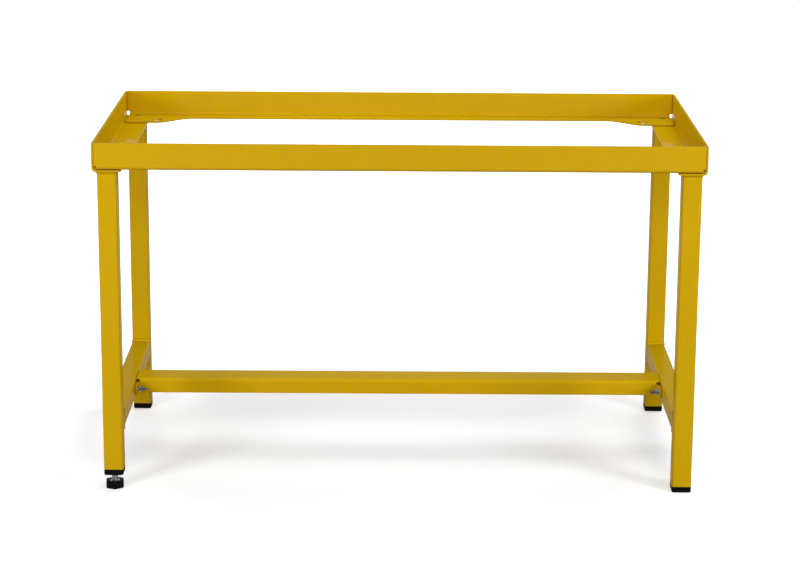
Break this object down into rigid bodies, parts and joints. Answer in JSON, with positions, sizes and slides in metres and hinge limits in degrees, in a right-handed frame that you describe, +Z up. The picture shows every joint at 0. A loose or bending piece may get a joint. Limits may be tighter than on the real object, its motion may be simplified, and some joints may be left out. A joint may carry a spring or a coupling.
{
  "type": "tool chest stand",
  "caption": "Open steel stand whose shallow rim of bent angle rails holds a tool chest, on square tube legs with plastic caps, a bolted low stretcher and a corner levelling foot.",
  "frame": {"origin": "on the floor under the middle of the stand", "axes": "+X along the length, to the right seen from the front; +Y towards the rear; +Z up"},
  "size_m": [0.93, 0.473, 0.551],
  "materials": {
    "yellow_powder_coat": "semi-gloss powder coat",
    "black_plastic": "fine satin moulding",
    "zinc_plate": "bright zinc plate"
  },
  "bodies": {
    "stand": {"front_rail": "yellow_powder_coat", "rear_rail": "yellow_powder_coat", "left_end_rail": "yellow_powder_coat", "right_end_rail": "yellow_powder_coat", "front_left_leg": "yellow_powder_coat", "front_right_leg": "yellow_powder_coat", "rear_left_leg": "yellow_powder_coat", "rear_right_leg": "yellow_powder_coat", "left_cross_tube": "yellow_powder_coat", "right_cross_tube": "yellow_powder_coat", "stretcher": "yellow_powder_coat", "leg_cap_front_right": "black_plastic", "leg_cap_rear_left": "black_plastic", "leg_cap_rear_right": "black_plastic", "levelling_cap": "black_plastic", "threaded_insert": "zinc_plate", "corner_screw_front_left": "zinc_plate", "corner_screw_front_right": "zinc_plate", "corner_screw_rear_left": "zinc_plate", "corner_screw_rear_right": "zinc_plate", "weld_nut_front_left": "zinc_plate", "weld_nut_front_right": "zinc_plate", "weld_nut_rear_left": "zinc_plate", "weld_nut_rear_right": "zinc_plate", "stretcher_bolt_front_left": "zinc_plate", "stretcher_bolt_front_right": "zinc_plate", "stretcher_bolt_rear_left": "zinc_plate", "stretcher_bolt_rear_right": "zinc_plate", "head_washer_front_left": "zinc_plate", "head_washer_front_right": "zinc_plate", "head_washer_rear_left": "zinc_plate", "head_washer_rear_right": "zinc_plate", "nut_washer_front_left": "zinc_plate", "nut_washer_front_right": "zinc_plate", "nut_washer_rear_left": "zinc_plate", "nut_washer_rear_right": "zinc_plate", "stretcher_nut_front_left": "zinc_plate", "stretcher_nut_front_right": "zinc_plate", "stretcher_nut_rear_left": "zinc_plate", "stretcher_nut_rear_right": "zinc_plate"},
    "foot_carrier": {"foot_washer": "zinc_plate"},
    "levelling_foot": {"levelling_stud": "zinc_plate", "foot_pad": "black_plastic"}
  },
  "joints": [
    {"name": "foot_height", "type": "slide", "parent": "stand", "child": "foot_carrier", "axis": [0, 0, 1], "range_m": [-0.012, 0.008]},
    {"name": "foot_turn", "type": "hinge", "parent": "foot_carrier", "child": "levelling_foot", "pos_m": [-0.443, -0.2145, 0], "axis": [0, 0, 1], "range_deg": [-2890, 1930]}
  ],
  "couplings": [
    {"joint": "foot_turn", "follows": "foot_height", "rad_per_m": 4188.8}
  ]
}
